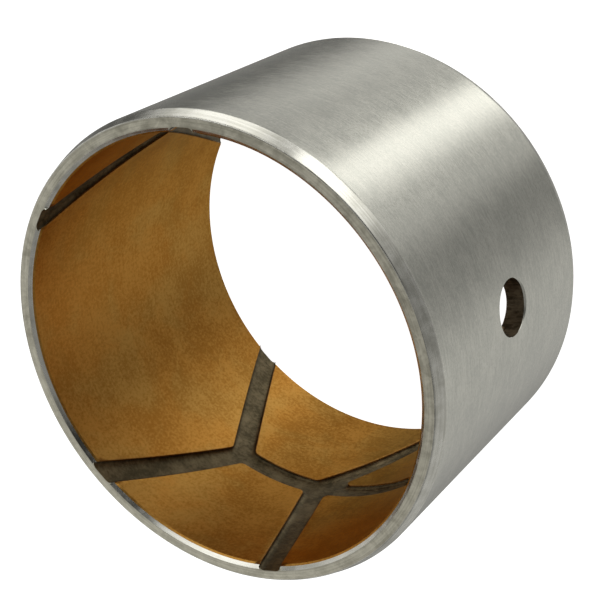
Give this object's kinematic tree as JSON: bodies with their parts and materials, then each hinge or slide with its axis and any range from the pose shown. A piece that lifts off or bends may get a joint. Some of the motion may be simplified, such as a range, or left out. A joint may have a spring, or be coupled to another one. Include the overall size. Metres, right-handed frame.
{
  "type": "sleeve bushing",
  "caption": "Plain sleeve bushing: a steel shell lined with thin bronze, with branching oil grooves in the bore and a radial oil hole.",
  "frame": {"origin": "centre of the bush at its back end face", "axes": "+Z along the bore towards the front end, +X through the oil hole"},
  "size_m": [0.06, 0.06, 0.04],
  "materials": {
    "steel": "turned and ground mild steel, satin, with fine lines round the outside and darker stains on the end faces",
    "bronze": "sintered leaded bronze, fine bored satin finish, golden brown with a slight mottle"
  },
  "bodies": {
    "root": {"steel_backing": "steel", "plain_land": "bronze", "front_long_land": "bronze", "back_long_land": "bronze", "front_land_left": "bronze", "front_land_right": "bronze", "back_land_left": "bronze", "back_land_right": "bronze"}
  },
  "joints": []
}
